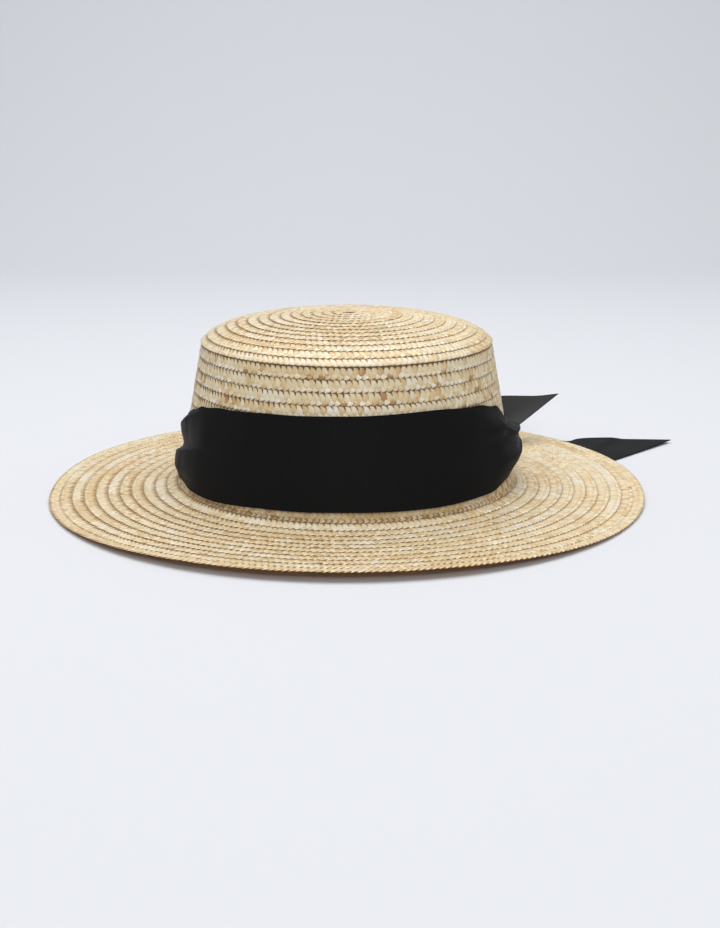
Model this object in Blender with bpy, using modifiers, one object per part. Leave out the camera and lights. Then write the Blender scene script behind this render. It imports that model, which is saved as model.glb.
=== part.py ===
"""A straw boater hat: plaited straw tip, side and brim, with a wide satin ribbon tied round the crown.

The hat lies on its brim as it would on a table. The origin is the middle of the head opening at the
level of the table, +Z is up, -Y is the front of the hat and the knot is at the back, to the right.
"""

import math

import bmesh
import bpy
from mathutils import Vector

# Sizes in metres, heights above the table, angles in degrees counted from +X towards +Y.
OVAL = 1.04
SEGMENTS = 48
CLEARANCE = 0.0003

# The straw: rows of plait, each a shallow rib, sewn edge over edge.
STRAW_THICKNESS = 0.0024
PLAIT_RELIEF = 0.0006

# The brim, whose edge droops to the table at three places.
BRIM_HALF_WIDTH = 0.1625
BRIM_ROWS = 11
BRIM_DROOP = 0.0030
DROOP_PLACES = 3
DROOP_ANGLE = 90
DROOP_FLAT = 1.35
BRIM_RISE = 0.0036
BRIM_RISE_RUN = 0.0060

# The side of the crown, a cone that narrows upward from its foot.
SIDE_FOOT_HALF_WIDTH = 0.0925
SIDE_TAPER = 0.179
SIDE_ROWS = 12
SIDE_TOP = 0.0837

# The tip, a low dome whose rim stands on the side and a little proud of it.
TIP_APEX = 0.0990
TIP_ROWS = 14
TIP_OVERHANG = 0.0006
DOME_SHARE = 0.62
SHOULDER_POWER = 12

# The ribbon, one width of satin for the band and both tails.
RIBBON_WIDTH = 0.0520
RIBBON_THICKNESS = 0.0010
BAND_FOOT = 0.0035
BAND_FLARE = 0.0020
FOLD_DEPTH = 0.0060
LOWER_FOLD_SHARE = 0.65
BAND_SEGMENTS = 54
BAND_STRIPS = 8

# The knot, a soft barrel over the gathered band.
KNOT_ANGLE = 56
KNOT_LENGTH = 0.0260
KNOT_HEIGHT = 0.0290
KNOT_DEPTH = 0.0130

STRAW_COLOUR = (0.80, 0.64, 0.38, 1)
SATIN_COLOUR = (0.012, 0.012, 0.013, 1)

# How the band gathers on its way round: angle, lift of its lower edge and height of the band as
# shares of RIBBON_WIDTH, and depth of its lengthwise fold as a share of FOLD_DEPTH.
BAND_SECTIONS = (
    # angle, lift, height, fold
    (0, 0.20, 0.37, 0.90),
    (18, 0.17, 0.37, 0.90),
    (56, 0.09, 0.44, 0.62),
    (85, 0.05, 0.52, 0.55),
    (130, 0.02, 0.60, 0.50),
    (165, 0.00, 0.62, 0.50),
    (182, 0.00, 0.64, 0.50),
    (192, 0.00, 0.68, 0.30),
    (204, 0.00, 0.76, 0.08),
    (222, 0.00, 0.86, 0.00),
    (245, 0.00, 0.92, 0.00),
    (300, 0.00, 0.92, 0.00),
    (322, 0.01, 0.88, 0.05),
    (336, 0.05, 0.77, 0.30),
    (348, 0.13, 0.54, 0.75),
)


# The two tails from the knot to their slanting ends. Reach runs from 0 at the knot to 1 at the edge
# of the brim. Height is that of the middle of the ribbon over the brim, or beyond it over the table,
# and width is across the ribbon, both as shares of RIBBON_WIDTH; bearing and tilt are those of the
# width.
UPPER_TAIL_SECTIONS = (
    # reach, angle, height, width, bearing, tilt
    (0.139, 50.6, 0.374, 0.27, 90, 60),
    (0.330, 46.5, 0.346, 0.50, 62, 40),
    (0.523, 42.4, 0.266, 0.78, 44, 38),
    (0.655, 39.2, 0.275, 1.05, 38, 27),
)
LOWER_TAIL_SECTIONS = (
    # reach, angle, height, width, bearing, tilt
    (0.060, 56.6, 0.156, 0.31, 146, 0),
    (0.338, 58.1, 0.029, 0.52, 148, 0),
    (0.695, 60.2, 0.029, 0.62, 151, 0),
    (0.975, 61.8, 0.026, 0.50, 152, 0),
    (1.111, 61.4, 0.052, 0.30, 135, 0),
    (1.135, 58.6, 0.026, 0.17, 85, 0),
    (1.097, 54.8, 0.016, 0.16, 55, 0),
    (1.099, 46.7, 0.016, 0.16, 47, 0),
    (1.089, 39.3, 0.016, 0.16, 45, 0),
    (1.162, 35.8, 0.016, 0.60, 70, 0),
    (1.293, 32.0, 0.016, 0.87, 62, 0),
    (1.553, 25.1, 0.022, 1.34, 49, 1),
)
TAIL_STEPS = 3
TAIL_STRIPS = 4


def clear_scene():
    for thing in list(bpy.data.objects):
        bpy.data.objects.remove(thing)


def make_material(name, colour, roughness, sheen):
    material = bpy.data.materials.new(name)
    material.use_nodes = True
    shader = material.node_tree.nodes["Principled BSDF"]
    shader.inputs["Base Color"].default_value = colour
    shader.inputs["Roughness"].default_value = roughness
    shader.inputs["Metallic"].default_value = 0
    shader.inputs["Sheen Weight"].default_value = sheen
    material.diffuse_color = colour
    return material


def smooth_share(value):
    """0 below 0, 1 above 1, and a smooth step between."""
    value = min(max(value, 0), 1)
    return value * value * (3 - 2 * value)


# The hat's own surfaces, as heights and half-widths before the oval stretch.
def droop(angle, radius):
    """How far the brim sinks below its level part, most along the outermost row at three places."""
    place = (1 + math.cos(DROOP_PLACES * (angle - math.radians(DROOP_ANGLE)))) / 2
    place = min(place * DROOP_FLAT, 1)
    row = (BRIM_HALF_WIDTH - SIDE_FOOT_HALF_WIDTH) / BRIM_ROWS
    run = (radius - SIDE_FOOT_HALF_WIDTH) / (BRIM_HALF_WIDTH - row - SIDE_FOOT_HALF_WIDTH)
    return BRIM_DROOP * smooth_share(place) * min(max(run, 0), 1) ** 2


def brim_level(radius):
    """Height of the brim's upper face where it doesn't droop: level, and rising to the crown."""
    near = max(radius - SIDE_FOOT_HALF_WIDTH, 0) / BRIM_RISE_RUN
    return STRAW_THICKNESS + BRIM_DROOP + BRIM_RISE * math.exp(-near)


def support(angle, radius):
    """Height of what lies under a tail: the brim's upper face, or the table beyond its edge."""
    if radius > BRIM_HALF_WIDTH:
        return 0
    return brim_level(radius) - droop(angle, radius)


def foot_height():
    """Where the side of the crown ends, level with the brim's lower face beside it."""
    return brim_level(SIDE_FOOT_HALF_WIDTH) - STRAW_THICKNESS


def side_half_width(height):
    return SIDE_FOOT_HALF_WIDTH - SIDE_TAPER * (height - foot_height())


def tip_half_width():
    return side_half_width(SIDE_TOP) + TIP_OVERHANG


def tip_height(radius):
    """The tip's upper face: a shallow dome that turns down at its shoulder."""
    share = radius / tip_half_width()
    drop = DOME_SHARE * share**2 + (1 - DOME_SHARE) * share**SHOULDER_POWER
    rim = SIDE_TOP + CLEARANCE
    return TIP_APEX - (TIP_APEX - rim) * drop


def even_points(curve, count):
    """Points at equal distances along a curve given as closely spaced points."""
    lengths = [0.0]
    for before, after in zip(curve, curve[1:]):
        lengths.append(lengths[-1] + (after - before).length)
    points = []
    index = 0
    for step in range(count + 1):
        wanted = lengths[-1] * step / count
        while index < len(curve) - 2 and lengths[index + 1] < wanted:
            index += 1
        span = lengths[index + 1] - lengths[index]
        points.append(curve[index].lerp(curve[index + 1], (wanted - lengths[index]) / span))
    return points


def ribbed(curve, rows):
    """The outline of a row of plaits laid along a curve: a rib at each row and a valley between."""
    points = even_points(curve, 2 * rows)
    ribs = []
    for index, point in enumerate(points):
        before = points[max(index - 1, 0)]
        after = points[min(index + 1, len(points) - 1)]
        along = (after - before).normalized()
        outward = Vector((-along.y, along.x))
        ribs.append(point + outward * PLAIT_RELIEF * (index % 2))
    return ribs


def turned(name, outline, material, shape, closed):
    """A solid turned from an outline of (half-width, height) points, then moved point by point."""
    build = bmesh.new()
    points = [build.verts.new((point.x, 0, point.y)) for point in outline]
    ends = list(zip(points, points[1:] + points[:1]))
    edges = [build.edges.new(pair) for pair in (ends if closed else ends[:-1])]
    bmesh.ops.spin(
        build,
        geom=points + edges,
        cent=(0, 0, 0),
        axis=(0, 0, 1),
        angle=math.tau,
        steps=SEGMENTS,
        use_merge=True,
    )
    bmesh.ops.remove_doubles(build, verts=build.verts, dist=CLEARANCE / 10)
    for point in build.verts:
        point.co = shape(point.co)
    bmesh.ops.recalc_face_normals(build, faces=build.faces)
    return finish(name, build, material)


def finish(name, build, material):
    mesh = bpy.data.meshes.new(name)
    build.to_mesh(mesh)
    build.free()
    mesh.materials.append(material)
    mesh.shade_smooth()
    mesh.set_sharp_from_angle(angle=math.radians(50))
    thing = bpy.data.objects.new(name, mesh)
    hat.objects.link(thing)
    return thing


def stretched(point):
    """The oval of the head: longer from front to back than from side to side."""
    return Vector((point.x, point.y * OVAL, point.z))


def drooped(point):
    radius = math.hypot(point.x, point.y)
    angle = math.atan2(point.y, point.x)
    return stretched(point - Vector((0, 0, droop(angle, radius))))


# Straw: the tip.
def make_tip():
    rim = tip_half_width()
    steps = 60
    curve = [Vector((rim * i / steps, tip_height(rim * i / steps))) for i in range(steps + 1)]
    outer = ribbed(curve, TIP_ROWS)
    inner = []
    for share in (1.0, 0.93, 0.80, 0.55, 0.28, 0.0):
        radius = (rim - STRAW_THICKNESS) * share
        inner.append(Vector((radius, tip_height(radius) - STRAW_THICKNESS)))
    inner[0].y = curve[-1].y
    return turned("crown_tip", outer + inner, straw, stretched, False)


# Straw: the side of the crown.
def make_side():
    foot = foot_height()
    curve = [Vector((side_half_width(h), h)) for h in (SIDE_TOP, (SIDE_TOP + foot) / 2, foot)]
    outer = ribbed(curve, SIDE_ROWS)
    inner = [
        Vector((side_half_width(foot) - STRAW_THICKNESS, foot)),
        Vector((side_half_width(SIDE_TOP) - STRAW_THICKNESS, SIDE_TOP)),
    ]
    return turned("crown_side", outer + inner, straw, stretched, True)


# Straw: the brim, which holds the foot of the side in its inner edge.
def make_brim():
    inner_edge = side_half_width(brim_level(SIDE_FOOT_HALF_WIDTH)) + PLAIT_RELIEF + CLEARANCE
    inner_edge = max(inner_edge, SIDE_FOOT_HALF_WIDTH + CLEARANCE)
    steps = 90
    span = BRIM_HALF_WIDTH - inner_edge
    radii = [inner_edge + span * i / steps for i in range(steps + 1)]
    curve = [Vector((radius, brim_level(radius) - PLAIT_RELIEF)) for radius in radii]
    upper = ribbed(curve, BRIM_ROWS)
    row = (BRIM_HALF_WIDTH - SIDE_FOOT_HALF_WIDTH) / BRIM_ROWS
    lower = []
    for radius in (
        BRIM_HALF_WIDTH - PLAIT_RELIEF,
        BRIM_HALF_WIDTH - row,
        BRIM_HALF_WIDTH - 0.35 * span,
        inner_edge + 0.30 * span,
        inner_edge + 2 * BRIM_RISE_RUN,
        inner_edge + BRIM_RISE_RUN / 2,
        inner_edge,
    ):
        lower.append(Vector((radius, brim_level(radius) - STRAW_THICKNESS)))
    return turned("brim", upper + lower, straw, drooped, True)


# Ribbon: the band.
def band_section(angle):
    """The table's columns at any angle, joined smoothly round the crown."""
    wanted = math.degrees(angle) % 360
    rows = list(BAND_SECTIONS) + [(360,) + BAND_SECTIONS[0][1:]]
    for before, after in zip(rows, rows[1:]):
        if wanted <= after[0]:
            share = smooth_share((wanted - before[0]) / (after[0] - before[0]))
            return [b + (a - b) * share for b, a in zip(before[1:], after[1:])]


def band_point(angle, share):
    """A point of the band's middle surface: share runs from its lower edge to its upper one."""
    lift, height, fold = band_section(angle)
    foot = brim_level(SIDE_FOOT_HALF_WIDTH) + BAND_FOOT
    level = foot + RIBBON_WIDTH * (lift + height * share)
    proud = PLAIT_RELIEF + CLEARANCE + RIBBON_THICKNESS / 2
    proud += BAND_FLARE * (1 - share) ** 2
    bulge = LOWER_FOLD_SHARE if share < 0.5 else 1
    proud += FOLD_DEPTH * fold * bulge * math.sin(math.tau * share) ** 2
    radius = side_half_width(level) + proud
    return Vector((radius * math.cos(angle), radius * math.sin(angle), level))


def sheet(name, grid, material, around):
    """A strip of ribbon from a grid of middle points, thickened to its real thickness."""
    build = bmesh.new()
    rows = [[build.verts.new(point) for point in line] for line in grid]
    pairs = list(zip(rows, rows[1:] + rows[:1]))
    for line, following in pairs if around else pairs[:-1]:
        for index in range(len(line) - 1):
            build.faces.new((line[index], following[index], following[index + 1], line[index + 1]))
    thing = finish(name, build, material)
    solid = thing.modifiers.new("thickness", "SOLIDIFY")
    solid.thickness = RIBBON_THICKNESS
    solid.offset = 0
    solid.use_even_offset = True
    solid.thickness_clamp = 0
    return thing


def make_band():
    grid = []
    for step in range(BAND_SEGMENTS):
        angle = math.tau * step / BAND_SEGMENTS
        shares = [i / BAND_STRIPS for i in range(BAND_STRIPS + 1)]
        grid.append([stretched(band_point(angle, share)) for share in shares])
    return sheet("ribbon_band", grid, satin, True)


# Ribbon: the knot, a cage pinched at its two ends and made round by subdivision.
def knot_frame():
    """Where the knot sits: its centre and its outward and sideways directions."""
    angle = math.radians(KNOT_ANGLE)
    outward = Vector((math.cos(angle), math.sin(angle), 0))
    sideways = Vector((outward.y, -outward.x, 0))
    reach = max((band_point(angle, i / 20)).xy.length for i in range(21))
    lift, height, _ = band_section(angle)
    foot = brim_level(SIDE_FOOT_HALF_WIDTH) + BAND_FOOT
    level = foot + RIBBON_WIDTH * (lift + height / 2)
    centre = outward * (reach + RIBBON_THICKNESS / 2 + CLEARANCE + KNOT_DEPTH / 2)
    centre.z = level
    return centre, outward, sideways


def make_knot():
    centre, outward, sideways = knot_frame()
    build = bmesh.new()
    bmesh.ops.create_cube(build, size=1)
    bmesh.ops.subdivide_edges(build, edges=build.edges, cuts=2, use_grid_fill=True)
    for point in build.verts:
        along, out, up = point.co
        waist = 1 - 0.30 * (2 * along) ** 2
        crease = 0.88 if abs(up) < 0.3 and out > 0 else 1.0
        place = centre + sideways * along * KNOT_LENGTH
        place += outward * out * KNOT_DEPTH * crease
        place.z += up * KNOT_HEIGHT * waist
        point.co = stretched(place)
    bmesh.ops.recalc_face_normals(build, faces=build.faces)
    knot = finish("ribbon_knot", build, satin)
    round_off = knot.modifiers.new("rounding", "SUBSURF")
    round_off.levels = 1
    round_off.render_levels = 1
    return knot


# Ribbon: the tails.
def eased(sections, place):
    """A table's columns between its rows, on a curve that passes through every row."""
    index = min(int(place), len(sections) - 2)
    share = place - index
    rows = [sections[min(max(index + i, 0), len(sections) - 1)] for i in (-1, 0, 1, 2)]
    values = []
    for before, start, end, after in zip(*rows):
        leave = (end - before) / 2
        arrive = (after - start) / 2
        bend = 3 * (end - start) - 2 * leave - arrive
        twist = 2 * (start - end) + leave + arrive
        values.append(start + share * (leave + share * (bend + share * twist)))
    return values


def tail_place(section):
    """A row of a tail's table as the middle of the ribbon, its width, and its bearing and tilt."""
    reach, angle, height, width, bearing, tilt = section
    angle = math.radians(angle)
    knot_radius = knot_frame()[0].xy.length
    radius = knot_radius + reach * (BRIM_HALF_WIDTH - knot_radius)
    level = support(angle, radius) + height * RIBBON_WIDTH
    middle = stretched(Vector((radius * math.cos(angle), radius * math.sin(angle), level)))
    return (*middle, width * RIBBON_WIDTH, math.radians(bearing), math.radians(tilt))


def make_tail(name, sections):
    places = [tail_place(section) for section in sections]
    grid = []
    for step in range((len(sections) - 1) * TAIL_STEPS + 1):
        x, y, height, width, bearing, tilt = eased(places, step / TAIL_STEPS)
        middle = Vector((x, y, height))
        level = math.cos(tilt)
        across = Vector((math.cos(bearing) * level, math.sin(bearing) * level, math.sin(tilt)))
        shares = [i / TAIL_STRIPS - 0.5 for i in range(TAIL_STRIPS + 1)]
        grid.append([middle + across * width * share for share in shares])
    return sheet(name, grid, satin, False)


clear_scene()
hat = bpy.data.collections.new("straw_boater_hat")
bpy.context.scene.collection.children.link(hat)
straw = make_material("plaited_straw", STRAW_COLOUR, 0.55, 0.0)
satin = make_material("black_satin", SATIN_COLOUR, 0.38, 0.1)
make_tip()
make_side()
make_brim()
make_band()
make_knot()
make_tail("ribbon_tail_upper", UPPER_TAIL_SECTIONS)
make_tail("ribbon_tail_lower", LOWER_TAIL_SECTIONS)
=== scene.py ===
"""The looks of a straw boater hat with a black satin ribbon, on a pale floor under soft studio light."""

import math

import bpy
import numpy as np
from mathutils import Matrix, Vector


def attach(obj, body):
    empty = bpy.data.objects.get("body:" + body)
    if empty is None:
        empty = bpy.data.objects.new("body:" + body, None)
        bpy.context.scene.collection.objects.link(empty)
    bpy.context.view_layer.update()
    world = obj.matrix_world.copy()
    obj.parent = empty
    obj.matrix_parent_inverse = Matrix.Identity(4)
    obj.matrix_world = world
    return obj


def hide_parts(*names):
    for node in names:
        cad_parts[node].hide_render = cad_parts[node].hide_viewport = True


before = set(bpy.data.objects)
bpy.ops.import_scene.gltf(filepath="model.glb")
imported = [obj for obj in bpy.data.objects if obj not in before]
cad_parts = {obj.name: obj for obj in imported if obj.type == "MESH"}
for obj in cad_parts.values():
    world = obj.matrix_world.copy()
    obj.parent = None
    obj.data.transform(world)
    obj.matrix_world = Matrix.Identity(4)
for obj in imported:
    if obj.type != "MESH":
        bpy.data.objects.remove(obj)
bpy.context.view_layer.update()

# The straw: tip, side and brim.
# The crown and the brim are one long plait of three strands, each of two wheat straws laid side by
# side. It is wound from the middle of the tip to the edge of the brim, and every turn is sewn with
# its outer edge over the next one, so the turns step like shingles.
OVAL = 1.04

TIP_APEX = 0.0990
TIP_RIM = 0.0840
TIP_HALF_WIDTH = 0.0793
DOME_SHARE = 0.62
SHOULDER_POWER = 12
TIP_ROWS = 14

FOOT_HALF_WIDTH = 0.0925
FOOT_HEIGHT = 0.0066
SIDE_TAPER = 0.179
SIDE_END = 0.0022
SIDE_ROWS = 12

BRIM_HALF_WIDTH = 0.1625
BRIM_START = 0.0004
BRIM_LEVEL = 0.0054
BRIM_SINK = 0.0006
BRIM_RISE = 0.0036
BRIM_RISE_RUN = 0.0060
BRIM_DROOP = 0.0030
BRIM_LIFT = 0.0008
DROOP_REACH = 48
BRIM_ROWS = 11
BRIM_ROW = (BRIM_HALF_WIDTH - FOOT_HALF_WIDTH) / BRIM_ROWS

FOOT_ROW = TIP_ROWS + SIDE_ROWS
ROWS = FOOT_ROW + BRIM_ROWS
OUTLINE_PACE = 0.00025
BACK = math.radians(118)
STEP_SHARE = 0.16


def eased(share):
    share = np.clip(share, 0, 1)
    return share * share * (3 - 2 * share)


def droop(angle, radius):
    """How far the brim's outer rows sink, to the floor behind and at both sides. In front they rise a
    little, and the sinking is negative."""
    degrees = np.degrees(angle)
    behind, left, right, front = (
        eased(1 - np.abs((degrees - place + 180) % 360 - 180) / DROOP_REACH)
        for place in (90, 198, 335, 270)
    )
    run = (radius - FOOT_HALF_WIDTH) / (BRIM_HALF_WIDTH - BRIM_ROW - FOOT_HALF_WIDTH)
    return (BRIM_DROOP * (behind + left + right) - BRIM_LIFT * front) * np.clip(run, 0, 1) ** 2


def brim_level(radius):
    near = np.maximum(radius - FOOT_HALF_WIDTH, 0) / BRIM_RISE_RUN
    return BRIM_LEVEL + BRIM_RISE * np.exp(-near)


def hat_profile():
    """The hat's outline from the middle of the tip to the edge of the brim, with softened corners."""
    share = np.linspace(0, 1, 600)
    drop = DOME_SHARE * share**2 + (1 - DOME_SHARE) * share**SHOULDER_POWER
    tip = np.stack([share * TIP_HALF_WIDTH, TIP_APEX - (TIP_APEX - TIP_RIM) * drop])
    height = np.linspace(TIP_RIM, FOOT_HEIGHT + SIDE_END, 400)
    side = np.stack([FOOT_HALF_WIDTH - SIDE_TAPER * (height - FOOT_HEIGHT), height])
    radius = np.linspace(FOOT_HALF_WIDTH + BRIM_START, BRIM_HALF_WIDTH, 400)
    brim = np.stack([radius, brim_level(radius) - BRIM_SINK])
    line = np.concatenate([tip, side, brim], axis=1)
    ends = np.cumsum([tip.shape[1], side.shape[1]])
    travel = np.concatenate([[0], np.cumsum(np.hypot(*np.diff(line)))])
    corners = [travel[ends[0]], travel[ends[1]], travel[-1]]
    even = np.arange(0, travel[-1], OUTLINE_PACE)
    r = np.interp(even, travel, line[0])
    z = np.interp(even, travel, line[1])
    soft = np.hanning(13)
    soft /= soft.sum()
    r[6:-6] = np.convolve(r, soft, "valid")
    z[6:-6] = np.convolve(z, soft, "valid")
    return even, r, z, corners


RUN, RUN_R, RUN_Z, CORNERS = hat_profile()
NORMAL_R = -np.gradient(RUN_Z, RUN)
NORMAL_Z = np.gradient(RUN_R, RUN)
ROW_EDGES = np.concatenate(
    [
        np.linspace(0, CORNERS[0], TIP_ROWS + 1),
        np.linspace(CORNERS[0], CORNERS[1], SIDE_ROWS + 1)[1:],
        np.linspace(CORNERS[1], CORNERS[2], BRIM_ROWS + 1)[1:],
    ]
)


def on_hat(run, angle, height):
    """The point at a distance along the outline, round by an angle and out by a height."""
    side = np.sign(run + 1e-12)
    away = np.abs(run)
    beyond = away - RUN[-1]
    r = np.interp(away, RUN, RUN_R) + np.maximum(beyond, 0)
    z = np.interp(away, RUN, RUN_Z)
    r = side * (r + height * np.interp(away, RUN, NORMAL_R))
    z = z + height * np.interp(away, RUN, NORMAL_Z) - droop(angle, np.abs(r))
    return np.stack([r * np.cos(angle), OVAL * r * np.sin(angle), z], axis=-1)


def row_place(turn):
    """Which row a number of turns has reached: level rows that step outward behind the hat, and an
    even spiral in the middle of the tip."""
    row = np.clip(np.floor(turn), 0, ROWS - 1)
    share = turn - row
    spiral = 1 - np.clip(row / 4, 0, 1)
    step = spiral * np.maximum(share, -1) + (1 - spiral) * eased((share - 1 + STEP_SHARE) / STEP_SHARE)
    return row + 0.5 + np.where(row < ROWS - 1, step, 0)


FIRST_TURN = -0.36
TURNS = np.arange(FIRST_TURN, ROWS, 1 / 720)
ROW_MIDDLES = np.interp(row_place(TURNS), np.arange(ROWS + 1), ROW_EDGES)
PLAIT_LINE = on_hat(ROW_MIDDLES, BACK + math.tau * TURNS, 0 * TURNS)
PLAIT_RUN = np.concatenate([[0], np.cumsum(np.linalg.norm(np.diff(PLAIT_LINE, axis=0), axis=1))])

# One strand crosses the plait and comes back in a period. Its width, and how far it sways, are
# shares of the plait's own width, which is more than the rows' pitch, as they overlap.
PLAIT_PERIOD = 0.0093
SAMPLES_A_PERIOD = 12
PLAIT_LAP = 1.22
PLAIT_STEP = 0.00032
MID_DEPTH = 0.0005
STRAND_SWAY = 0.298
STRAND_HALF_WIDTH = 0.215
STRAND_TURN = 0.985
STRAND_WAVE = 0.00030
PLAIT_EDGE = 0.432
LAST_EDGE = 0.155
ACROSS_PAIR = np.array([-1, -0.52, 0, 0.52, 1])
PAIR_CROWN = np.array([-0.00013, 0.00008, 0.00002, 0.00008, -0.00013])
BACK_PLACES = np.array([-0.46, -0.15, 0.15, 0.43])
BACK_EVERY = 4

# A straw is let in when the last one ends. Pale ones come to the top in runs of one to four scales.
STRAW_LENGTH = 0.052
STRAW_SPREAD = 0.012
PALE_PACE = 0.0031
PALE_STARTS = 0.09
PALE_GOES_ON = 0.6


def quads(rows, columns):
    """The faces of a grid of points."""
    corner = np.arange(rows - 1)[:, None] * columns + np.arange(columns - 1)
    faces = np.stack([corner, corner + 1, corner + columns + 1, corner + columns], axis=-1)
    return faces.reshape(-1, 4).tolist()


def tone_of_straws(along, pale_and_shade, draws):
    """Each straw has its own tone from its start to its end, where the next one is let in. Pale
    straws show in short runs. The same added value makes the side's last row darker, as painted shade."""
    length = STRAW_LENGTH + STRAW_SPREAD * draws.random()
    shift = draws.random() * length
    number = np.floor((along + shift) / length).astype(int)
    tone = draws.random(number.max() + 2)[number]
    return 0.10 + 0.64 * tone + pale_and_shade * 0.24


def pale_runs(draws, length):
    """Where along the plait pale straws come to the top: 0 mostly, 1 in short runs."""
    place = np.arange(0, length + 0.05, PALE_PACE)
    start = draws.random(place.size) < PALE_STARTS
    run = start.copy()
    for shift in (1, 2, 3):
        run[shift:] |= start[:-shift] & (draws.random(place.size - shift) < PALE_GOES_ON)
    return run.astype(float)


def row_sizes(rows):
    """The plait's middle line and width at places in the rows, and how far they are on the last row."""
    middle = np.interp(rows, np.arange(ROWS + 1), ROW_EDGES)
    width = np.interp(rows, np.arange(ROWS) + 0.5, np.diff(ROW_EDGES)) * PLAIT_LAP
    return middle[:, None], width, np.clip(rows - (ROWS - 1.2), 0, 1)


def boldness(rows):
    """How strongly the plait's scales differ in tone, painted glints and painted shade: fully on the
    side of the crown, less on tip and brim.
    """
    ends = [TIP_ROWS - 0.5, TIP_ROWS + 0.5, FOOT_ROW - 1.6, FOOT_ROW - 0.6]
    return np.interp(rows, ends, [0.3, 1, 1, 0.3])


def plait_strand(number, along, rows, pale_run, draws, tone_draws):
    """One strand, a pair of rounded straws that goes over and under the other two and folds back at
    both edges of the plait: points, shades (tone with painted glints, brightness, and painted shade),
    grain, the strength of the painted rim shade, and faces."""
    middle, width, last = row_sizes(rows)
    wide = width[:, None]
    outermost = last[:, None]
    phase = math.tau * (along / PLAIT_PERIOD + number / 3)
    wave = np.sin(2 * phase)

    sway = np.arcsin(STRAND_TURN * np.cos(phase)) / math.asin(STRAND_TURN)
    offset = (STRAND_SWAY * sway + draws.normal(0, 0.02, along.size) * 0.5) * width
    slope = np.gradient(offset, along)
    size = np.hypot(1, slope)
    folded = eased(offset / width * 5)
    half_strand = STRAND_HALF_WIDTH * width * (1 - 0.08 * folded + draws.normal(0, 0.04, along.size))
    aside = offset[:, None] + (1 / size * half_strand)[:, None] * ACROSS_PAIR
    limit = (PLAIT_EDGE + LAST_EDGE * outermost) * wide
    aside = np.clip(aside, -limit, limit)
    outward = 0.17 * (1 - outermost) * wide * (1 - (2 * aside / wide) ** 2)
    aside = aside - 0.1 * outermost * wide + outward
    ahead = along[:, None] - (slope / size * half_strand)[:, None] * ACROSS_PAIR
    turn = np.interp(ahead, PLAIT_RUN, TURNS)
    height = STRAND_WAVE * wave[:, None] + PAIR_CROWN + PLAIT_STEP * aside / wide
    height = height + draws.normal(0, 0.00005, along.size)[:, None] - MID_DEPTH
    points = on_hat(middle + aside, BACK + math.tau * turn, height)

    # The side's last row, at the ribbon's lower edge, is painted darker as shade under the ribbon,
    # and the brim's first row is drawn paler.
    pale_and_shade = pale_run[np.round(along / PALE_PACE).astype(int)]
    pale_and_shade = pale_and_shade + np.interp(rows - FOOT_ROW, [-1.2, -0.5, 0.2, 0.8, 1.6], [0, -0.55, -0.3, 0.6, 0])
    left = tone_of_straws(along, pale_and_shade, tone_draws)
    right = 0.5 * left + 0.5 * tone_of_straws(along, pale_and_shade, tone_draws)
    tone = np.stack([left, left, (left + right) / 2, right, right], axis=1)

    # Each place where the strand comes up differs a little in tone and brightness, most of all on the
    # side of the crown.
    bold = boldness(rows)
    scale = np.floor(phase / math.pi).astype(int)
    scale -= scale.min()
    low = eased(aside / wide * 5 - 0.6)
    each = draws.normal(0, 1, scale.max() + 1)[scale]
    light = 1 + (0.02 + 0.05 * low) * each[:, None]
    # Some places near the row's outer edge get a painted glint: their tone is raised towards the palest
    # straw.
    spark = (draws.random(scale.max() + 1) < 0.45)[scale] * np.clip(wave + 0.4, 0, 1) * bold
    tone = tone + (0.08 + 0.12 * low) * (each * bold)[:, None]
    tone = tone + 0.5 * spark[:, None] * eased((aside / wide - 0.2) / 0.1)
    # Painted shade: the strand is drawn darker where it dips under the others, most near the row's outer
    # edge.
    deep = 0.5 + 0.5 * wave[:, None] * (1 + 0.7 * low) * (0.7 + 0.3 * bold[:, None]) - 0.12 * low
    shades = np.stack([tone, light, deep], axis=-1)
    # Painted shade along each straw's rims, weaker near the plait's edges.
    rims = 1 - 0.4 * eased((np.abs(aside / wide) - 0.28) / 0.14)
    length = np.cumsum(size) * PLAIT_PERIOD / SAMPLES_A_PERIOD
    grain = np.stack([0 * tone + ACROSS_PAIR, 0 * tone + length[:, None] * 200, 0 * tone + number * 7], -1)
    return points, shades, grain, rims, quads(along.size, ACROSS_PAIR.size)


def plait_back(along, rows):
    """A flat strip that closes the plait from behind. Where it shows between the strands it is
    painted darker as shade, most of all on the side of the crown.
    """
    along = along[::BACK_EVERY]
    rows = rows[::BACK_EVERY]
    middle, width, last = row_sizes(rows)
    places = BACK_PLACES * width[:, None]
    places[:, -1] -= 0.10 * last * width
    turn = np.interp(along, PLAIT_RUN, TURNS)[:, None]
    height = PLAIT_STEP * places / width[:, None] - MID_DEPTH
    points = on_hat(middle + places, BACK + math.tau * turn, height)
    bold = boldness(rows)
    shades = np.stack([0 * rows + 0.3, 0.9 - 0.12 * bold, 0.5 - 0.3 * bold], axis=-1)
    shades = np.repeat(shades, BACK_PLACES.size, axis=0)
    count = along.size * BACK_PLACES.size
    grain = np.tile([0.0, 0.0, 9.0], (count, 1))
    return points, shades, grain, np.zeros(count), quads(along.size, BACK_PLACES.size)


def plait_start():
    """A small disc under the first turn, which closes the middle of the tip, painted a little darker
    as shade under the plait.
    """
    spokes = 16
    angle = np.arange(spokes) * math.tau / spokes
    points = on_hat(np.array([0.001, 0.006])[:, None], angle, -MID_DEPTH - 0.0003)
    count = 2 * spokes
    shades = np.tile([0.5, 0.8, 0.3], (count, 1))
    faces = [[i, spokes + i, spokes + (i + 1) % spokes, (i + 1) % spokes] for i in range(spokes)]
    faces.append(list(range(spokes)))
    return points, shades, points * [300, 60, 0], np.zeros(count), faces


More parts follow.
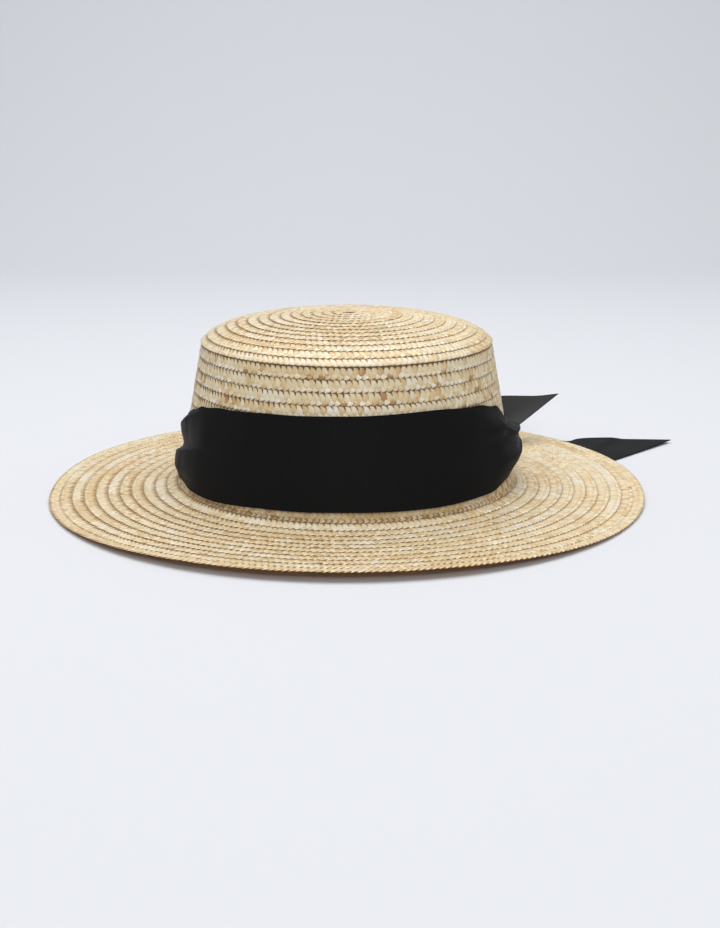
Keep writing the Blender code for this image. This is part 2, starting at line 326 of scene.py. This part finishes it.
def plait_mesh(name, first_row, last_row, seed):
    """The plait from one row to another."""
    start = np.interp(first_row if first_row else TURNS[0], TURNS, PLAIT_RUN)
    end = np.interp(last_row, TURNS, PLAIT_RUN)
    pace = PLAIT_PERIOD / SAMPLES_A_PERIOD
    along = np.arange(math.floor(start / pace), math.ceil(end / pace) + 1) * pace
    rows = row_place(np.interp(along, PLAIT_RUN, TURNS))
    draws = np.random.default_rng(seed)
    tone_draws = np.random.default_rng(7)
    pale_run = pale_runs(tone_draws, along[-1])
    parts = [plait_strand(number, along, rows, pale_run, draws, tone_draws) for number in range(3)]
    front_faces = sum(len(part[-1]) for part in parts)
    parts.append(plait_back(along, rows))
    if first_row == 0:
        parts.append(plait_start())

    faces = []
    count = 0
    for part in parts:
        faces += [[corner + count for corner in face] for face in part[-1]]
        count += part[0].size // 3
    points, shades, grain = (
        np.concatenate([part[column].reshape(-1, 3) for part in parts]) for column in range(3)
    )
    rims = np.concatenate([part[3].ravel() for part in parts])
    mesh = bpy.data.meshes.new(name)
    mesh.from_pydata(points.tolist(), [], faces)
    mesh.update()
    layer = (np.arange(len(faces)) >= front_faces).astype(np.int32)
    mesh.polygons.foreach_set("material_index", layer)
    for title, values in (("straw", shades), ("grain", grain)):
        attribute = mesh.attributes.new(title, "FLOAT_VECTOR", "POINT")
        attribute.data.foreach_set("vector", values.astype(np.float32).ravel())
    attribute = mesh.attributes.new("rim", "FLOAT", "POINT")
    attribute.data.foreach_set("value", rims.astype(np.float32))
    mesh.shade_smooth()
    piece = bpy.data.objects.new(name, mesh)
    bpy.context.collection.objects.link(piece)
    return piece


def rgb(red, green, blue):
    """A colour as it looks on screen, turned into the linear values that Blender takes."""
    shares = (value / 255 for value in (red, green, blue))
    linear = (share / 12.92 if share < 0.04 else ((share + 0.055) / 1.055) ** 2.4 for share in shares)
    return (*linear, 1)


def feed(tree, socket, value):
    """Set a socket to a value, or link it to another node's output."""
    if isinstance(value, bpy.types.NodeSocket):
        tree.links.new(value, socket)
    else:
        socket.default_value = value


def attribute_node(tree, title):
    node = tree.nodes.new("ShaderNodeAttribute")
    node.attribute_name = title
    return node


def split_node(tree, vector):
    node = tree.nodes.new("ShaderNodeSeparateXYZ")
    feed(tree, node.inputs[0], vector)
    return node.outputs


def noise_node(tree, vector, scale, detail=2):
    node = tree.nodes.new("ShaderNodeTexNoise")
    node.inputs["Scale"].default_value = scale
    node.inputs["Detail"].default_value = detail
    feed(tree, node.inputs["Vector"], vector)
    return node.outputs[0]


def spread_node(tree, value, low, high, start=0.0, end=1.0):
    """A value that goes from low to high while another goes from start to end."""
    node = tree.nodes.new("ShaderNodeMapRange")
    feed(tree, node.inputs["Value"], value)
    feed(tree, node.inputs["From Min"], start)
    feed(tree, node.inputs["From Max"], end)
    feed(tree, node.inputs["To Min"], low)
    feed(tree, node.inputs["To Max"], high)
    return node.outputs[0]


def math_node(tree, operation, *values):
    node = tree.nodes.new("ShaderNodeMath")
    node.operation = operation
    for socket, value in zip(node.inputs, values):
        feed(tree, socket, value)
    return node.outputs[0]


def stain_node(tree, colour, stain, share=1.0):
    """A colour multiplied by a stain, in full or by a share."""
    node = tree.nodes.new("ShaderNodeMix")
    node.data_type = "RGBA"
    node.blend_type = "MULTIPLY"
    feed(tree, node.inputs[0], share)
    feed(tree, node.inputs[6], colour)
    feed(tree, node.inputs[7], stain)
    return node.outputs[2]


def bump_node(tree, height, strength, distance):
    node = tree.nodes.new("ShaderNodeBump")
    node.inputs["Strength"].default_value = strength
    node.inputs["Distance"].default_value = distance
    feed(tree, node.inputs["Height"], height)
    return node.outputs[0]


# The straw's colours. The shadow colour is painted shade where a strand dips under the others, the rim
# colour is painted shade along each straw's rims, and the bleached colour at the top of the tones also
# serves for painted glints.
DULL_STRAW = rgb(204, 158, 94)
BLEACHED_STRAW_AND_GLINT = rgb(255, 250, 236)
STRAW_TONES = ((0.14, rgb(237, 207, 152)), (0.50, rgb(251, 235, 194)), (0.80, rgb(253, 244, 216)))
STRAW_SHADOW = rgb(140, 88, 36)
STRAW_RIM_SHADE = rgb(200, 156, 102)
STRAW_GLOW = rgb(255, 242, 212)


def straw_material(name, see_through):
    """Wheat straw: each straw in its own tone and streaked along its length, with painted shade where it
    dips under the others and at its rims, with a soft gloss on top, and thin enough to let light through."""
    material = bpy.data.materials.new(name)
    material.use_nodes = True
    tree = material.node_tree
    shader = tree.nodes["Principled BSDF"]
    tone, light, deep = split_node(tree, attribute_node(tree, "straw").outputs["Vector"])
    grain = attribute_node(tree, "grain").outputs["Vector"]
    stretch = tree.nodes.new("ShaderNodeMapping")
    stretch.inputs["Scale"].default_value = (3.2, 0.5, 1)
    feed(tree, stretch.inputs[0], grain)
    fibres = noise_node(tree, stretch.outputs[0], 2.4, 3)
    blots = noise_node(tree, tree.nodes.new("ShaderNodeTexCoord").outputs["Object"], 55)

    ramp = tree.nodes.new("ShaderNodeValToRGB")
    stops = ramp.color_ramp.elements
    stops[0].color = DULL_STRAW
    stops[1].color = BLEACHED_STRAW_AND_GLINT
    for position, colour in STRAW_TONES:
        stops.new(position).color = colour
    feed(tree, ramp.inputs[0], tone)
    streaks = math_node(tree, "MULTIPLY", spread_node(tree, fibres, 0.86, 1.14, 0.3, 0.7), light)
    colour = stain_node(tree, ramp.outputs[0], streaks)
    # Painted shade where the strand dips under the others.
    colour = stain_node(tree, colour, STRAW_SHADOW, spread_node(tree, deep, 0.95, 0.0, 0.0, 0.5))
    # Painted shade along each straw's rims.
    from_middle = math_node(tree, "ABSOLUTE", split_node(tree, grain)[0])
    at_rim = spread_node(tree, from_middle, 0.0, attribute_node(tree, "rim").outputs["Fac"], 0.82, 1.0)
    colour = stain_node(tree, colour, STRAW_RIM_SHADE, at_rim)

    feed(tree, shader.inputs["Base Color"], colour)
    feed(tree, shader.inputs["Roughness"], spread_node(tree, blots, 0.25, 0.42))
    feed(tree, shader.inputs["Specular IOR Level"], spread_node(tree, deep, 0.08, 0.85, 0.0, 0.6))
    feed(tree, shader.inputs["Normal"], bump_node(tree, fibres, 0.35, 0.0002))
    shader.inputs["Sheen Weight"].default_value = 0.01
    through = tree.nodes.new("ShaderNodeBsdfTranslucent")
    feed(tree, through.inputs["Color"], stain_node(tree, colour, STRAW_GLOW))
    thin = tree.nodes.new("ShaderNodeMixShader")
    thin.inputs[0].default_value = see_through
    feed(tree, thin.inputs[1], shader.outputs[0])
    feed(tree, thin.inputs[2], through.outputs[0])
    feed(tree, tree.nodes["Material Output"].inputs["Surface"], thin.outputs[0])
    return material


STRAW = straw_material("wheat straw", 0.32)
THIN_STRAW = straw_material("wheat straw, back of the plait", 0.75)


def straw_piece(name, first_row, last_row, seed, node):
    piece = plait_mesh(name, first_row, last_row, seed)
    piece.data.materials.append(STRAW)
    piece.data.materials.append(THIN_STRAW)
    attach(piece, "root")
    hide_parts(node)


straw_piece("tip_plait", 0, TIP_ROWS, 1, "crown_tip")
straw_piece("side_plait_upper", TIP_ROWS, TIP_ROWS + 6, 2, "crown_side")
straw_piece("side_plait_lower", TIP_ROWS + 6, FOOT_ROW, 3, "crown_side")
straw_piece("brim_plait_inner", FOOT_ROW, ROWS - 5, 4, "brim")
straw_piece("brim_plait_outer", ROWS - 5, ROWS, 5, "brim")

# The band.
# A black satin ribbon goes once round the foot of the crown. It lies smooth in front, breaks into
# one sharp fold at the left, and gathers in pleats at the right and behind, where it is knotted.
RIBBON_WIDTH = 0.052
SATIN_THICKNESS = 0.0004
BAND_FOOT = 0.0125
BAND_FLARE = 0.0009
BAND_SEAT = 0.0006
BAND_PROUD = 0.0013
FOLD_DEPTH = 0.0060
FOLD_SLANT = 0.0045
LEFT_FOLD = 186
RIGHT_FOLD = 352
FOLD_REACH = 22
PLEAT_DEPTH = 0.0013
PLEATS = 5
BAND_RIPPLE = 0.0002
BAND_ROUND = 480
BAND_ACROSS = 75

# The ribbon on its way round: angle, lift of its lower edge and height of the band as shares of
# RIBBON_WIDTH, and how deep its fold and its pleats are, as shares of the deepest.
BAND_SECTIONS = np.array(
    [
        # angle, lift, height, fold, pleat
        (0, 0.21, 0.34, 0.80, 0.05),
        (20, 0.15, 0.33, 0.70, 0.60),
        (55, 0.09, 0.44, 0.50, 1.00),
        (85, 0.05, 0.52, 0.45, 0.80),
        (130, 0.02, 0.60, 0.50, 0.55),
        (162, 0.00, 0.54, 0.50, 0.30),
        (174, 0.00, 0.52, 0.52, 0.00),
        (182, 0.00, 0.58, 0.62, 0.00),
        (188, 0.00, 0.64, 0.60, 0.00),
        (194, 0.00, 0.70, 0.60, 0.00),
        (200, 0.01, 0.74, 0.45, 0.00),
        (210, -0.02, 0.85, 0.30, 0.00),
        (222, -0.03, 0.90, 0.10, 0.00),
        (245, 0.00, 0.90, 0.00, 0.00),
        (270, 0.01, 0.90, 0.00, 0.00),
        (300, 0.00, 0.92, 0.00, 0.00),
        (322, 0.01, 0.87, 0.35, 0.00),
        (336, 0.06, 0.75, 0.60, 0.00),
        (348, 0.12, 0.51, 0.75, 0.00),
        (360, 0.21, 0.34, 0.80, 0.05),
    ]
)

# How far the fold stands out across the band, from its lower edge to its upper one, as shares of
# FOLD_DEPTH: behind the hat, at the sharp fold on the left, and at the gathers on the right.
FOLD_SECTIONS = np.array(
    [
        # share, behind, left, right
        (0.00, 0.00, -0.30, -0.15),
        (0.12, 0.40, 0.40, 0.65),
        (0.25, 0.60, 0.60, 1.15),
        (0.37, 0.40, 0.65, 0.90),
        (0.40, 0.30, -0.30, 0.90),
        (0.50, 0.10, -0.30, 1.00),
        (0.60, 0.50, 0.00, 0.90),
        (0.70, 0.80, 0.35, 1.35),
        (0.85, 0.65, 0.65, 0.00),
        (0.93, 0.35, -0.10, 0.00),
        (1.00, 0.00, -0.30, 0.00),
    ]
)


def band_columns(degrees):
    """The columns of BAND_SECTIONS at any angle, eased from one row to the next."""
    rows = np.searchsorted(BAND_SECTIONS[:, 0], degrees, "right") - 1
    rows = np.clip(rows, 0, len(BAND_SECTIONS) - 2)
    before, after = BAND_SECTIONS[rows], BAND_SECTIONS[rows + 1]
    share = eased((degrees - before[:, 0]) / (after[:, 0] - before[:, 0]))
    return (before + (after - before) * share[:, None]).T


def band_middle(degrees, share):
    """The band's middle surface; share runs across it from the lower edge to the upper one."""
    _, lift, height, fold, pleat = (column[:, None] for column in band_columns(degrees))
    degrees = degrees[:, None]
    share = share[None]
    level = BAND_FOOT + RIBBON_WIDTH * (lift + height * share)
    proud = BAND_PROUD + BAND_FLARE * (1 - share) ** 2
    place, behind, left, right = FOLD_SECTIONS.T
    behind = np.interp(share, place, behind)
    left = np.interp(share + FOLD_SLANT * (LEFT_FOLD - degrees), place, left)
    right = np.interp(share, place, right)
    near_left = eased(1.4 - np.abs(degrees - LEFT_FOLD) / FOLD_REACH)
    near_right = eased(1.5 - np.abs((degrees + 180) % 360 - (RIGHT_FOLD - 180)) / FOLD_REACH)
    fold_out = behind + (left - behind) * near_left + (right - behind) * near_right
    proud = proud + FOLD_DEPTH * fold * fold_out
    angle = np.radians(degrees)
    drift = 0.35 * np.sin(3 * angle + 1.0) + 0.2 * np.sin(7 * angle)
    proud = proud + PLEAT_DEPTH * pleat * (1 + np.sin(math.tau * (PLEATS * share + drift)))
    proud = proud + BAND_RIPPLE * np.sin(5 * angle + 4 * share) * np.sin(11 * angle - 3 * share)
    proud = np.maximum(proud, BAND_SEAT)
    r = FOOT_HALF_WIDTH - SIDE_TAPER * (level - FOOT_HEIGHT) + proud
    return np.stack([r * np.cos(angle), OVAL * r * np.sin(angle), level], axis=-1)


def sheet_mesh(name, middle, closed):
    """Satin with its real thickness, from a grid of points on its middle surface."""
    along = np.gradient(middle, axis=0)
    if closed:
        along = (np.roll(middle, -1, 0) - np.roll(middle, 1, 0)) / 2
    across = np.gradient(middle, axis=1)
    normal = np.cross(along, across)
    normal /= np.maximum(np.linalg.norm(normal, axis=2, keepdims=True), 1e-12)
    half = normal * SATIN_THICKNESS / 2
    points = np.concatenate([(middle + half).reshape(-1, 3), (middle - half).reshape(-1, 3)])
    rows, columns = middle.shape[:2]
    front = np.arange(rows * columns).reshape(rows, columns)
    back = front + rows * columns
    here = np.arange(rows if closed else rows - 1)
    there = (here + 1) % rows
    faces = []
    for sheet, order in ((front, (0, 1, 2, 3)), (back, (3, 2, 1, 0))):
        corners = (sheet[here, :-1], sheet[there, :-1], sheet[there, 1:], sheet[here, 1:])
        faces.append(np.stack([corners[corner] for corner in order], -1).reshape(-1, 4))
    faces.append(np.stack([front[here, 0], back[here, 0], back[there, 0], front[there, 0]], -1))
    faces.append(np.stack([front[there, -1], back[there, -1], back[here, -1], front[here, -1]], -1))
    if not closed:
        for row, order in ((0, (3, 2, 1, 0)), (-1, (0, 1, 2, 3))):
            corners = (front[row, :-1], back[row, :-1], back[row, 1:], front[row, 1:])
            faces.append(np.stack([corners[corner] for corner in order], -1))
    mesh = bpy.data.meshes.new(name)
    mesh.from_pydata(points.tolist(), [], np.concatenate(faces).tolist())
    mesh.update()
    mesh.shade_smooth()
    mesh.set_sharp_from_angle(angle=math.radians(60))
    piece = bpy.data.objects.new(name, mesh)
    bpy.context.collection.objects.link(piece)
    return piece


def satin_material(name, shine):
    """Black satin: fine threads, barely lighter and darker, with a soft gloss that wears unevenly."""
    material = bpy.data.materials.new(name)
    material.use_nodes = True
    tree = material.node_tree
    shader = tree.nodes["Principled BSDF"]
    place = tree.nodes.new("ShaderNodeTexCoord").outputs["Object"]
    threads = noise_node(tree, place, 900)
    black = tree.nodes.new("ShaderNodeValToRGB")
    black.color_ramp.elements[0].color = (0.0060, 0.0060, 0.0062, 1)
    black.color_ramp.elements[1].color = (0.0105, 0.0104, 0.0108, 1)
    feed(tree, black.inputs[0], threads)
    feed(tree, shader.inputs["Base Color"], black.outputs[0])
    feed(tree, shader.inputs["Roughness"], spread_node(tree, noise_node(tree, place, 40), 0.42, 0.56))
    feed(tree, shader.inputs["Normal"], bump_node(tree, threads, 0.25, 0.0001))
    shader.inputs["IOR"].default_value = 1.3
    shader.inputs["Specular IOR Level"].default_value = shine
    shader.inputs["Sheen Weight"].default_value = 0.01
    shader.inputs["Sheen Roughness"].default_value = 0.4
    return material


SATIN = satin_material("black satin", 0.06)


def satin_piece(piece, node, satin=SATIN):
    piece.data.materials.append(satin)
    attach(piece, "root")
    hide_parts(node)
    return piece


round_band = np.arange(BAND_ROUND) * 360 / BAND_ROUND
band = sheet_mesh("band_satin", band_middle(round_band, np.linspace(0, 1, BAND_ACROSS)), True)
satin_piece(band, "ribbon_band")

# The knot.
# The ribbon's ends are tied in one plain knot over the gathered band, at the back to the right. The
# satin goes over it from top to bottom in soft ridges.
KNOT_ANGLE = 56
KNOT_HALF_LENGTH = 0.0120
KNOT_HALF_DEPTH = 0.0068
KNOT_HALF_HEIGHT = 0.0135
KNOT_LEVEL = 0.0286
KNOT_GAP = 0.0005
KNOT_STEPS = 49
KNOT_SIDES = 72

knot_turn = math.radians(KNOT_ANGLE)
knot_out = np.array([math.cos(knot_turn), math.sin(knot_turn), 0])
knot_side = np.array([knot_out[1], -knot_out[0], 0])
band_there = band_middle(np.array([float(KNOT_ANGLE)]), np.linspace(0, 1, 40))[0, :, :2]
knot_reach = np.linalg.norm(band_there / [1, OVAL], axis=1).max() + KNOT_GAP + KNOT_HALF_DEPTH
along, turn = np.meshgrid(
    np.linspace(-0.97, 0.97, KNOT_STEPS), np.arange(KNOT_SIDES) * math.tau / KNOT_SIDES
)
waist = np.sqrt(1 - along**2) ** 0.5 * (1 - 0.06 * np.cos(along * 4))
ridge = 1 + 0.045 * np.sin(along * 17 + 0.9 * np.sin(turn))
plump = np.sign(np.cos(turn)) * np.abs(np.cos(turn)) ** 0.8 * waist * ridge
upright = np.sign(np.sin(turn)) * np.abs(np.sin(turn)) ** 0.85 * waist * ridge
knot_points = knot_out * (knot_reach + plump * KNOT_HALF_DEPTH)[..., None]
knot_points = knot_points + knot_side * (along * KNOT_HALF_LENGTH)[..., None]
knot_points[..., 2] = upright * KNOT_HALF_HEIGHT + KNOT_LEVEL
knot_points[..., 1] *= OVAL
point = np.arange(KNOT_SIDES * KNOT_STEPS).reshape(KNOT_SIDES, KNOT_STEPS)
after = np.roll(point, -1, 0)
knot_faces = np.stack([point[:, :-1], after[:, :-1], after[:, 1:], point[:, 1:]], -1).reshape(-1, 4).tolist()
knot_faces += [point[:, -1].tolist(), point[::-1, 0].tolist()]
knot_mesh = bpy.data.meshes.new("knot_satin")
knot_mesh.from_pydata(knot_points.reshape(-1, 3).tolist(), [], knot_faces)
knot_mesh.shade_smooth()
knot = bpy.data.objects.new("knot_satin", knot_mesh)
bpy.context.collection.objects.link(knot)
satin_piece(knot, "ribbon_knot")

# The tails.
# Two ends of the same ribbon come out of the knot, cut on the slant. The upper one stands up behind
# the crown, shiny face up. The lower one drops over the brim, runs along under its edge folded in
# three, and opens out flat on the floor.
SATIN_LAYER = 0.0005
KNOT_RADIUS = 0.10195
TAIL_STEPS = 14
TAIL_ACROSS = 97
FOLD_ROUND = 0.03
FOLD_START = 0.06

# Reach runs from 0 at the knot to 1 at the brim's edge. Height is that of the ribbon's middle over
# the brim, or beyond it over the floor, and width is across the ribbon, both as shares of
# RIBBON_WIDTH; bearing and tilt are those of the width.
UPPER_TAIL = [
    # reach, angle, height, width, bearing, tilt
    (0.139, 50.6, 0.354, 0.34, 75, 50),
    (0.330, 46.5, 0.346, 0.50, 62, 40),
    (0.523, 42.4, 0.306, 0.78, 40, 29),
    (0.655, 39.2, 0.288, 1.05, 38, 25),
]
LOWER_TAIL = [
    # reach, angle, height, width, bearing, tilt
    (0.060, 56.6, 0.156, 0.34, 146, 0),
    (0.338, 58.1, 0.024, 0.48, 148, 0),
    (0.695, 60.2, 0.024, 0.50, 151, 0),
    (0.957, 61.6, 0.024, 0.44, 152, 0),
    (1.111, 61.4, 0.050, 0.36, 130, 0),
    (1.109, 58.2, 0.020, 0.34, 85, 0),
    (1.035, 53.3, 0.006, 0.34, 58, 0),
    (1.005, 44.4, 0.006, 0.34, 50, 0),
    (1.005, 37.8, 0.006, 0.36, 50, 0),
    (1.114, 35.9, 0.006, 0.62, 65, 0),
    (1.281, 32.7, 0.008, 0.85, 62, 0),
    (1.553, 25.1, 0.022, 1.34, 49, 1),
]


def tail_place(reach, angle, height, width, bearing, tilt):
    """A row of a tail's table, as x, y and height in metres, width, and radians."""
    angle = math.radians(angle)
    radius = KNOT_RADIUS + reach * (BRIM_HALF_WIDTH - KNOT_RADIUS)
    under = 0
    if radius < BRIM_HALF_WIDTH:
        under = float(brim_level(radius) - droop(angle, radius))
    x = radius * math.cos(angle)
    y = OVAL * radius * math.sin(angle)
    return (x, y, under + height * RIBBON_WIDTH, width, math.radians(bearing), math.radians(tilt))


def through(rows):
    """Values on a smooth curve through every row of a table."""
    rows = np.array(rows, float)
    spread = np.concatenate([2 * rows[:1] - rows[1:2], rows, 2 * rows[-1:] - rows[-2:-1]])
    share = np.arange(TAIL_STEPS)[:, None] / TAIL_STEPS
    made = []
    for index in range(len(rows) - 1):
        before, start, end, after = spread[index : index + 4]
        leave = (end - before) / 2
        arrive = (after - start) / 2
        bend = 3 * (end - start) - 2 * leave - arrive
        twist = 2 * (start - end) + leave + arrive
        made.append(start + share * (leave + share * (bend + share * twist)))
    return np.concatenate(made + [rows[-1:]]).T


def tail(name, table, node, satin, hang):
    """A ribbon end through its table. Where it is narrower than the ribbon, the rest of the width is
    folded under its near edge and back again; the folds hang below the table's line or lie on it."""
    x, y, height, width, bearing, tilt = through([tail_place(*row) for row in table])
    middle = np.stack([x, y, height], -1)
    level = np.cos(tilt)
    aside = np.stack([np.cos(bearing) * level, np.sin(bearing) * level, np.sin(tilt)], -1)
    up = np.cross(np.gradient(middle, axis=0), aside)
    up /= np.linalg.norm(up, axis=1, keepdims=True)
    up *= np.sign(up[:, 2:])
    full = np.maximum(width, 1)[:, None]
    width = width[:, None]
    under = (full - width) / 2
    share = full * np.linspace(0, 1, TAIL_ACROSS)
    first, second = share < under, share < 2 * under
    place = np.where(first, share, np.where(second, 2 * under - share, share - 2 * under))
    layers = eased((share - under) / FOLD_ROUND + 0.5) + eased((share - 2 * under) / FOLD_ROUND + 0.5)
    stack = SATIN_LAYER * (layers - 2 * hang) * eased(under / FOLD_START)
    grid = middle[:, None] + aside[:, None] * (RIBBON_WIDTH * (place - width / 2))[..., None]
    grid = grid + up[:, None] * stack[..., None]
    return satin_piece(sheet_mesh(name, grid, False), node, satin)


SHINY_SATIN = satin_material("black satin, shiny face", 0.57)
upper_tail = tail("upper_tail_satin", UPPER_TAIL, "ribbon_tail_upper", SHINY_SATIN, 1)
lower_tail = tail("lower_tail_satin", LOWER_TAIL, "ribbon_tail_lower", SATIN, 0)

# The floor, the light and the camera.
# A sheet of paper turns up into a wall behind the hat, under one large soft light with two faint
# ones and an even glow all round. The camera looks slightly down at the front of the hat.
PAPER = rgb(206, 208, 213)
PAPER_HALF_WIDTH = 3
PAPER_FRONT = -1.2
BEND_START = 0.95
BEND_RADIUS = 0.7
WALL_TOP = 3.0

bend = [(PAPER_FRONT, 0.0), (BEND_START, 0.0)]
for turn in np.linspace(0.05, math.pi / 2, 20):
    bend.append((BEND_START + BEND_RADIUS * math.sin(turn), BEND_RADIUS * (1 - math.cos(turn))))
bend.append((BEND_START + BEND_RADIUS, WALL_TOP))
corners = [(x, y, z) for y, z in bend for x in (-PAPER_HALF_WIDTH, PAPER_HALF_WIDTH)]
strips = [(2 * i, 2 * i + 1, 2 * i + 3, 2 * i + 2) for i in range(len(bend) - 1)]
floor_mesh = bpy.data.meshes.new("floor")
floor_mesh.from_pydata(corners, [], strips)
floor_mesh.shade_smooth()
paper = bpy.data.materials.new("paper")
paper.use_nodes = True
paper_shader = paper.node_tree.nodes["Principled BSDF"]
paper_shader.inputs["Base Color"].default_value = PAPER
paper_shader.inputs["Roughness"].default_value = 0.9
floor_mesh.materials.append(paper)
floor = bpy.data.objects.new("floor", floor_mesh)
bpy.context.collection.objects.link(floor)


def lamp(name, place, aim, size, watts, colour):
    light = bpy.data.lights.new(name, "AREA")
    light.shape = "RECTANGLE"
    light.size, light.size_y = size
    light.energy = watts
    light.color = colour
    thing = bpy.data.objects.new(name, light)
    thing.location = place
    thing.rotation_euler = (Vector(aim) - Vector(place)).to_track_quat("-Z", "Y").to_euler()
    bpy.context.collection.objects.link(thing)


lamp("top light", (-0.06, 0.12, 1.4), (0, 0, 0), (1.5, 1.5), 21.5, (1, 0.99, 0.975))
lamp("wall light", (0.0, 0.6, 1.6), (0, 1.65, 0.9), (2.2, 0.7), 2.0, (0.92, 0.96, 1.0))
lamp("front light", (0.1, -1.6, 0.9), (0, 0, 0.05), (0.5, 0.3), 6.5, (1, 0.99, 0.97))
world = bpy.data.worlds.new("glow")
world.use_nodes = True
glow = world.node_tree.nodes["Background"]
glow.inputs["Color"].default_value = (0.965, 0.98, 1.0, 1)
glow.inputs["Strength"].default_value = 0.525
bpy.context.scene.world = world
bpy.context.scene.view_settings.view_transform = "Standard"

CAMERA_PLACE = (0.0072, -0.87386, 0.22957)
CAMERA_LOOKS_DOWN = 13.85
lens = bpy.data.cameras.new("camera")
lens.lens = 63.2
lens.sensor_width = 36
camera = bpy.data.objects.new("camera", lens)
camera.location = CAMERA_PLACE
camera.rotation_euler = (math.radians(90 - CAMERA_LOOKS_DOWN), 0, 0)
bpy.context.collection.objects.link(camera)
bpy.context.scene.camera = camera
